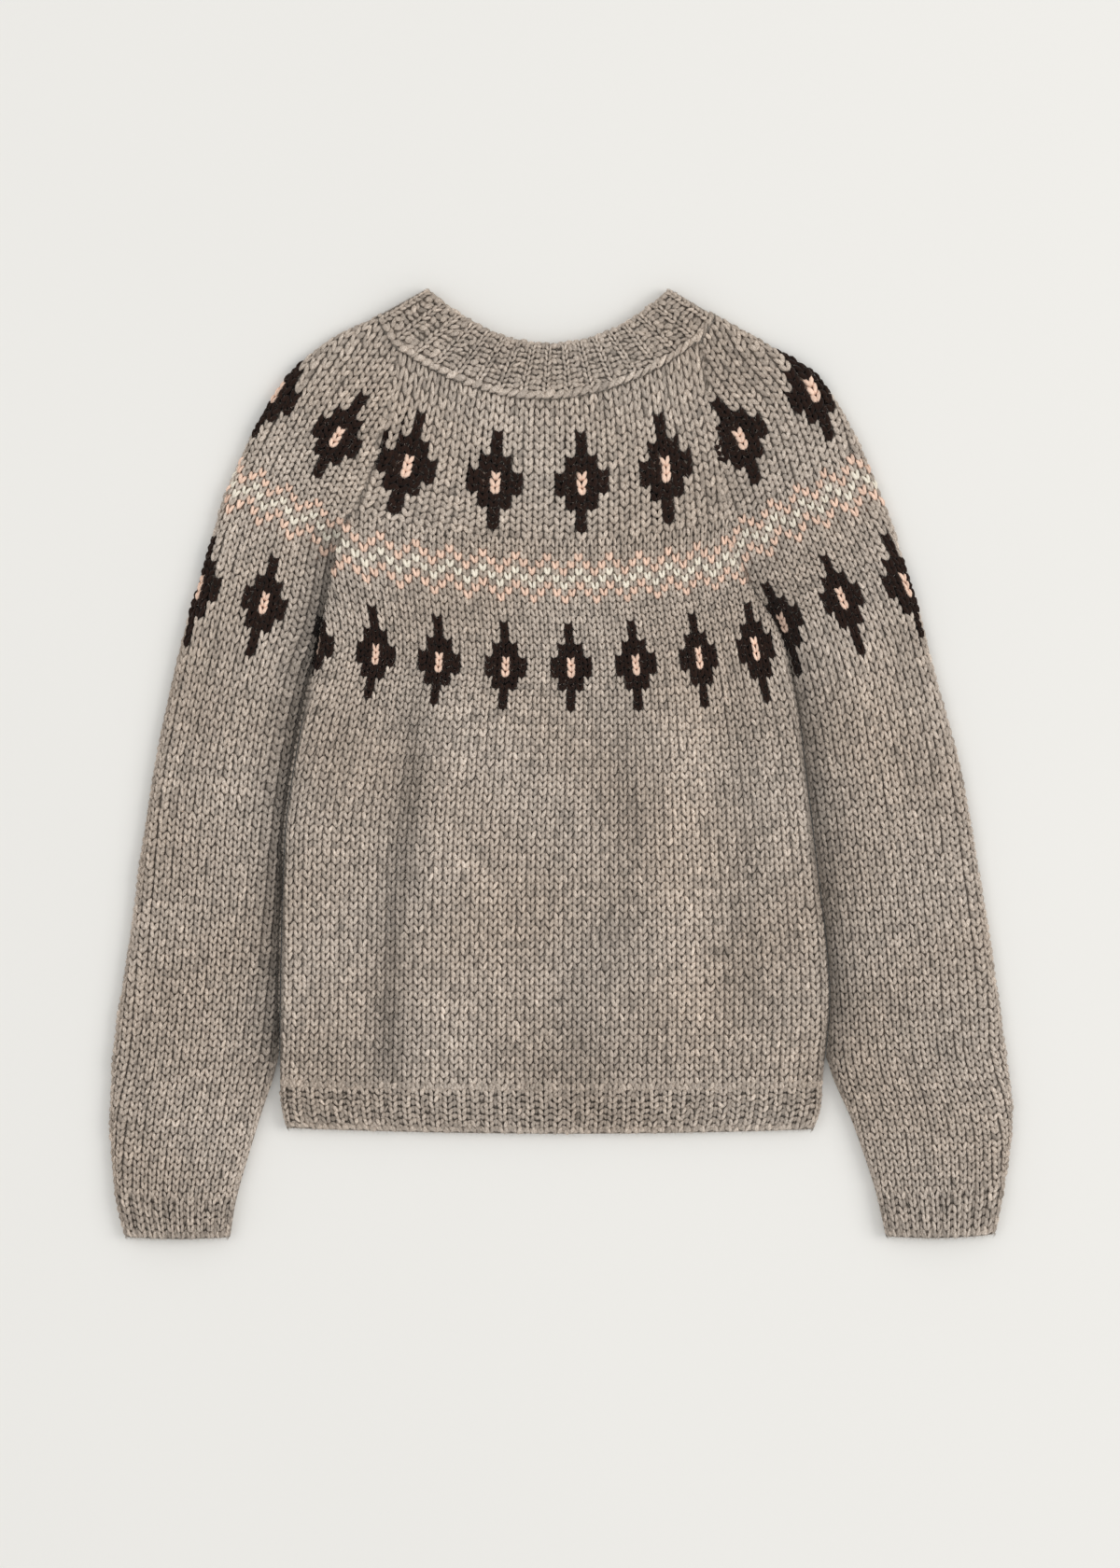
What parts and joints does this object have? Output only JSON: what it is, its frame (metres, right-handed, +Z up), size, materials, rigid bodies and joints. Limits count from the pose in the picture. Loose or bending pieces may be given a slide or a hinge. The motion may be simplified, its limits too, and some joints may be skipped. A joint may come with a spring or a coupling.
{
  "type": "sweater",
  "caption": "Chunky knitted wool jumper with a patterned yoke, raglan sleeves and ribbed neck, hem and cuffs, laid flat with its panels lying on each other",
  "frame": {"origin": "middle of the bounding box, on the surface that the jumper lies on", "axes": "+Y runs from the hem to the neck, +Z is up out of the surface, and +X is to the right as the front is looked at"},
  "size_m": [0.6588, 0.6938, 0.0181],
  "materials": {
    "front": "matt heather wool, knitted in stocking stitch",
    "back": "matt heather wool, knitted in stocking stitch",
    "sleeve_left": "matt heather wool, knitted in stocking stitch",
    "sleeve_right": "matt heather wool, knitted in stocking stitch",
    "neckband": "matt heather wool, ribbed",
    "hem_rib_front": "matt heather wool, ribbed",
    "hem_rib_back": "matt heather wool, ribbed",
    "cuff_left": "matt heather wool, ribbed",
    "cuff_right": "matt heather wool, ribbed"
  },
  "bodies": {
    "root": {"front": "front", "back": "back", "sleeve_left": "sleeve_left", "sleeve_right": "sleeve_right", "neckband": "neckband", "hem_rib_front": "hem_rib_front", "hem_rib_back": "hem_rib_back", "cuff_left": "cuff_left", "cuff_right": "cuff_right"}
  },
  "joints": []
}
